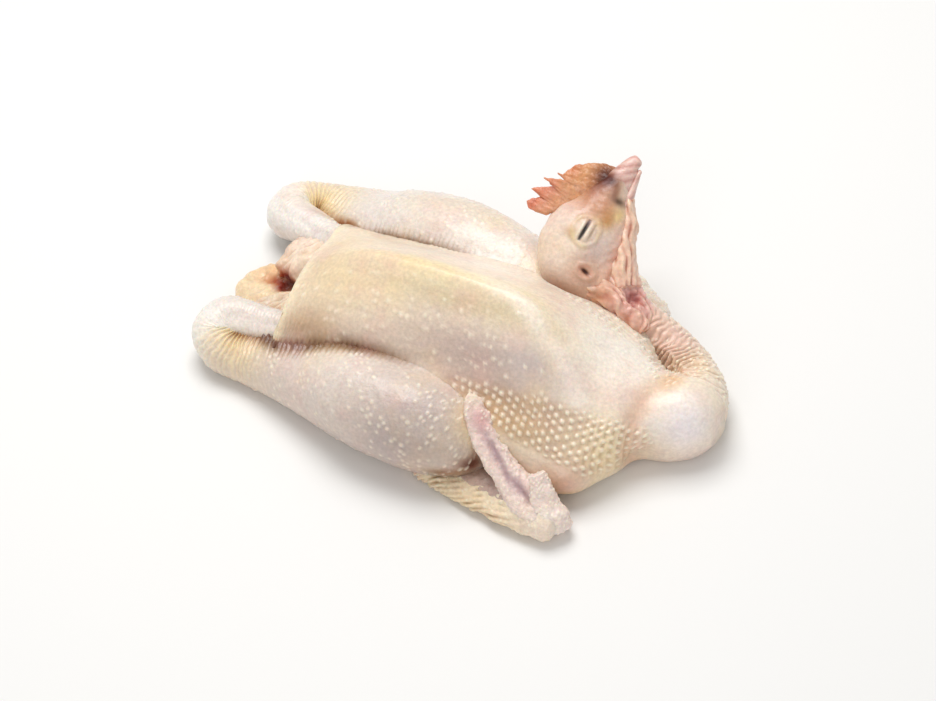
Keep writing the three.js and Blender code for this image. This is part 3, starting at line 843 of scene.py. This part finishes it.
colour = paint(
    surface,
    (0.925, 0.84, 0.77),
    [
        ((-6, -14, 14), (14, 10, 9), (0.95, 0.87, 0.79), 0.8),
        # Dark brown at the back of the skull, where it lies against the body: painted shadow.
        ((-30, -8, 0), (8, 14, 24), (0.50, 0.30, 0.20), 0.9),
        ((-2, -14, -6), (10, 8, 8), (0.90, 0.81, 0.79), 0.6),
        ((-15, -14, -1), (9, 8, 8), (0.74, 0.56, 0.45), 0.8),
        ((20, -8, 4), (9, 14, 10), (0.74, 0.52, 0.34), 0.9),
        ((26, -6, 12), (11, 12, 9), (0.72, 0.46, 0.29), 0.95),
        ((15, -10, -1), (5, 8, 4), (0.68, 0.45, 0.18), 0.7),
        ((20, -9, -6), (4, 8, 3), (0.93, 0.82, 0.50), 0.6),
        ((1, -14, 14), (3, 8, 3), (0.78, 0.60, 0.40), 0.5),
        ((-22, -10, -14), (14, 14, 9), (0.88, 0.66, 0.53), 0.8),
        ((6, -6, -16), (22, 14, 6), (0.90, 0.64, 0.55), 0.85),
        ((32, -4, 12), (6, 10, 4), (0.42, 0.22, 0.13), 0.8),
        ((27, -6, -2), (2, 8, 4), (0.28, 0.19, 0.13), 0.85),
        ((30, -6, 1), (4, 8, 2), (0.45, 0.28, 0.18), 0.7),
    ],
)
# Painted highlights along the rims of the upper and lower lids.
lid_highlight = np.exp(-((over - 2.9) ** 2)) + 0.6 * np.exp(-((over + 1.2) ** 2))
colour = tinted(colour, 0.65 * side_mask * lid_highlight * share, (0.96, 0.925, 0.83))
uneven = np.clip(0.6 + ripple(grid, 8, 46), 0, 1)
halo = uneven * side_mask * np.exp(-(((ring - 7.0) / 1.4) ** 2))
colour = tinted(colour, 0.55 * halo, (0.86, 0.75, 0.54))
lower_fold = side_mask * np.exp(-(((over + 3.2) / 0.7) ** 2)) * share
colour = tinted(colour, 0.55 * lower_fold, (0.52, 0.42, 0.30))
colour = tinted(colour, 1.4 * side_mask * opening, (0.07, 0.06, 0.06))
colour = tinted(colour, 1.3 * side_mask * ear_hole, (0.25, 0.10, 0.06))
colour = tinted(colour, 0.35 * side_mask * np.exp(-(((ear - 2.6) / 1.2) ** 2)), (0.88, 0.62, 0.52))
bruise = blob(surface, (36, -4, 7), (5.5, 9, 6))
colour = tinted(colour, 1.2 * bruise, (0.34, 0.12, 0.04))
piece("head", from_head(surface), colour, 0, bare_skin)

# ---- Beak ----
# Soft pinkish horn in two halves, the upper hooked over the lower, both shut on a dark corner of
# the mouth. The bruise over its root runs on to the head and the comb.
beak_rows = {
    "beak_upper": [[16, 0, -1, 4, 4, 4], [26, 0, 0.4, 7, 8.4, 8], [34, 0, 0.6, 6.4, 9.2, 7.4],
        [42, 0, -0.6, 4.8, 7.6, 5.5], [48.5, 0, -1.4, 3.6, 5.2, 3.6], [53, 0, -3.6, 2.2, 3.2, 2.4]],
    "beak_lower": [[20, 0, -6, 6, 3.5, 4], [31, 0, -6.5, 5, 2.6, 3.2], [41, 0, -6, 3.4, 1.6, 2],
        [48, 0, -6, 1.6, 1.0, 1.2]],
}
for name, rows in beak_rows.items():
    grid = limb(np.array(rows, float), 90, 70, caps=(0.12, 0.08))[0]
    furrows = np.sin(2 * np.pi * (measure(grid, 0)[1] + 2 * ripple(grid, 16, 50)) / 7)
    surface = shaped(grid, 0.2 * ripple(grid, 6, 51) + 0.05 * ripple(grid, 2, 52) + 0.04 * furrows)
    colour = paint(surface, (0.90, 0.74, 0.69), [((46, -3, 0), (8, 6, 5), (0.84, 0.66, 0.62), 0.6),
        ((46, -3, 5), (4, 8, 3), (0.80, 0.56, 0.50), 0.6),
        ((26, -5, -3), (2.6, 5, 2.4), (0.28, 0.22, 0.16), 0.9)])
    colour = tinted(colour, 0.35 * np.clip(-furrows, 0, 1) ** 2, (0.66, 0.42, 0.38))
    colour = tinted(colour, 0.5 * np.clip(furrows, 0, 1) ** 2, (0.95, 0.86, 0.81))
    colour = tinted(colour, 1.3 * blob(surface, (35, -3, 7), (4.5, 9, 6)), (0.34, 0.12, 0.04))
    piece(name, from_head(surface), colour, 0, bare_skin)

# ---- Throat ----
# Loose folded skin hangs under the jaw and lies beside the neck in a roll and a flap. It is torn
# round the dark red cut that bled the bird.
gular = limb(np.array([[32, 0, -7, 4, 3, 3], [25, 0, -9.5, 6.5, 4, 4], [17, 0, -13, 8.5, 5, 5],
    [7, 0, -15.5, 10, 6, 6], [-4, 0, -20, 11, 8, 8], [-14, 0, -26, 11, 9, 9]], float), 200, 150)
fold = limb(rounds([[46, 48, 44, 5], [56, 47, 47, 7], [68, 47, 47, 7.5], [79, 46, 44, 7],
    [90, 44, 38, 6], [98, 42, 33, 3.5]]), 200, 130)
flap = limb(rounds([[62, 57, 38, 12], [72, 57, 38, 13.5], [82, 54, 36, 11.5], [91, 52, 31, 9.5],
    [100, 50, 24, 7.5]]), 190, 150)
throats = {"gular_skin": (gular[0], (0.94, 0.79, 0.69)),
    "throat_fold": (fold[0], (0.92, 0.74, 0.66)), "throat": (flap[0], (0.93, 0.76, 0.71))}
for name, (grid, tint) in throats.items():
    placed = from_head(grid) if name == "gular_skin" else grid
    cut = blob(placed, (88, 51, 44.5), (3.2, 4.6, 4))
    torn = blob(placed, (88, 51, 44.5), (9, 10, 9))
    folds = np.sin(2 * np.pi * (measure(grid, 0)[1] + 5 * ripple(placed, 16, 60)) / 5)
    folds *= np.clip(0.6 + ripple(placed, 9, 65), 0, 1)
    rise = 1.3 * ripple(placed, 14, 61) + 0.7 * ripple(placed, 6, 62) + 0.3 * ripple(placed, 3, 63)
    rise += 0.65 * folds - 5 * cut + 1.2 * torn * ripple(placed, 4, 64)
    surface = shaped(placed, rise)
    colour = paint(
        surface,
        tint,
        [
            # Dark orange under the head: partly the skin of the fold, partly painted shade where
            # the head lies on it.
            ((56, 46, 38), (16, 10, 7), (0.72, 0.42, 0.26), 0.85),
            ((84, 41, 35), (18, 4.5, 6), (0.74, 0.47, 0.33), 0.6),
            ((66, 48, 54), (12, 8, 6), (0.93, 0.80, 0.72), 0.5),
            ((71, 42, 50), (8, 8, 7), (0.76, 0.53, 0.38), 0.85),
            ((102, 46, 34), (12, 12, 12), (0.90, 0.73, 0.66), 0.7),
            ((88, 49, 44), (9, 9, 8), (0.84, 0.58, 0.56), 0.6),
            ((88, 51, 44.5), (3, 4.4, 3.4), (0.42, 0.03, 0.03), 1.0),
        ],
    )
    colour = tinted(colour, 0.5 * np.clip(folds, 0, 1) ** 2, (0.97, 0.87, 0.74))
    colour = tinted(colour, 0.7 * np.clip(-folds, 0, 1) ** 2, (0.66, 0.33, 0.24))
    piece(name, surface, colour, 0, bare_skin)

# ---- Comb ----
# A thin upright blade of red skin along the crown: a rounded lobe over the beak, then spikes that
# lean back. Its root follows the skull, and its top is the outline.
# Both lines are x and z in the head's frame, from the back spike forwards to the beak.
comb_top = np.array(
    [[3.5, 35.5], [4, 39.5], [7, 42], [10, 39], [12.5, 36], [13, 39.5], [14, 43],
     [17, 38], [20, 33], [21, 36], [22, 39], [24, 34], [25.5, 29], [26.5, 31.5],
     [27.5, 33.5], [28, 30.5], [31, 29.5], [35, 27], [38.5, 22.5], [41, 18], [43, 13],
     [43.5, 8], [43, 4]]
)
comb_root = np.array([[4.5, 32], [9, 28], [14.5, 23.5], [21, 18], [28, 12], [36, 6], [41, 1]])
along = np.linspace(0, 1, 300)
steps = np.arange(len(comb_top))
top = np.stack([np.interp(along * steps[-1], steps, comb_top[:, c]) for c in (0, 1)], 1)
root = curve(comb_root, along) - [0, 3]
k = np.arange(60) / 60
height = 0.5 - 0.5 * np.cos(2 * np.pi * k)
face = np.sign(0.5 - k) * np.clip(1 - (2 * height - 1) ** 2, 0, 1) ** 0.25
thick = 3.2 - 2.2 * height
flat = root[:, None] + (top - root)[:, None] * height[None, :, None]
wave = 1.2 * np.sin(along * 9)[:, None] * height
taper = np.clip(1 - (2 * along - 1) ** 10, 0.0, 1)[:, None] ** 0.5
grid = np.stack([flat[..., 0], -face * thick * taper + wave, flat[..., 1]], -1)
veins = np.sin(2 * np.pi * (along[:, None] * 40 + 2 * ripple(grid, 9, 70)) / 3.2) * height
grid = shaped(grid, 0.4 * ripple(grid, 4, 71) + 0.25 * ripple(grid, 2, 72) + 0.2 * veins)
colour = paint(
    grid,
    (0.83, 0.565, 0.375),
    [
        ((18, 0, 22), (18, 8, 6), (0.86, 0.64, 0.44), 0.6),
        ((8, 0, 39), (12, 8, 4), (0.84, 0.44, 0.33), 0.75),
        ((20, 0, 34), (10, 8, 4), (0.84, 0.46, 0.34), 0.6),
        ((34, 0, 26), (10, 8, 4), (0.80, 0.47, 0.31), 0.6),
        ((36, 0, 9), (7, 10, 6), (0.30, 0.12, 0.06), 1.0),
    ],
)
comb_skin = skin_finish("comb skin", 0.42, 1.3, 0.15)
piece("comb", from_head(grid), colour, 0, comb_skin)

# ---- Studio ----
# A pale floor, with a broad soft light overhead, a little beyond the bird, and a weak one on the
# viewer's side. A plain white world fills the shadows.
span = 3.0
corners = [(-span, -span, 0), (span, -span, 0), (span, span, 0), (-span, span, 0)]
floor_mesh = bpy.data.meshes.new("floor")
floor_mesh.from_pydata(corners, [], [(0, 1, 2, 3)])
floor = bpy.data.objects.new("floor", floor_mesh)
bpy.context.scene.collection.objects.link(floor)
floor_paint = bpy.data.materials.new("floor")
floor_paint.use_nodes = True
floor_shader = floor_paint.node_tree.nodes["Principled BSDF"]
floor_shader.inputs["Base Color"].default_value = (0.86, 0.85, 0.83, 1)
floor_shader.inputs["Roughness"].default_value = 0.8
floor_mesh.materials.append(floor_paint)


def softbox(name, place, size, power):
    """Square area light at place, in metres, turned to the bird."""
    light = bpy.data.lights.new(name, "AREA")
    light.size = size
    light.energy = power
    lamp = bpy.data.objects.new(name, light)
    lamp.location = place
    lamp.rotation_euler = (-Vector(place)).to_track_quat("-Z", "Y").to_euler()
    bpy.context.scene.collection.objects.link(lamp)


softbox("overhead", (-0.25, 0.3, 1.3), 0.8, 13)
softbox("fill", (0.3, -1.4, 0.9), 1.0, 4.5)
world = bpy.data.worlds.new("studio")
world.use_nodes = True
world.node_tree.nodes["Background"].inputs["Color"].default_value = (1, 1, 1, 1)
world.node_tree.nodes["Background"].inputs["Strength"].default_value = 0.5
bpy.context.scene.world = world
bpy.context.scene.view_settings.view_transform = "Standard"

# The viewer looks down at the near side of the breast, from 1.5 m away through a long lens.
azimuth, elevation, roll = np.radians([28.45, 47.2, 3.75])
distance = 1.526
aim = keel_foot + np.array([0.0038, 0.0175, 0.001])
forward = np.array(
    [-np.sin(azimuth) * np.cos(elevation), np.cos(azimuth) * np.cos(elevation), -np.sin(elevation)]
)
level = np.array([np.cos(azimuth), np.sin(azimuth), 0])
right = np.cos(roll) * level - np.sin(roll) * np.cross(level, forward)
camera = bpy.data.cameras.new("camera")
camera.lens = 107.4
camera.sensor_width = 36
viewer = bpy.data.objects.new("camera", camera)
turn = np.eye(4)
turn[:3, 0] = right
turn[:3, 1] = np.cross(right, forward)
turn[:3, 2] = -forward
turn[:3, 3] = aim - distance * forward
viewer.matrix_world = Matrix(turn.tolist())
bpy.context.scene.collection.objects.link(viewer)
bpy.context.scene.camera = viewer
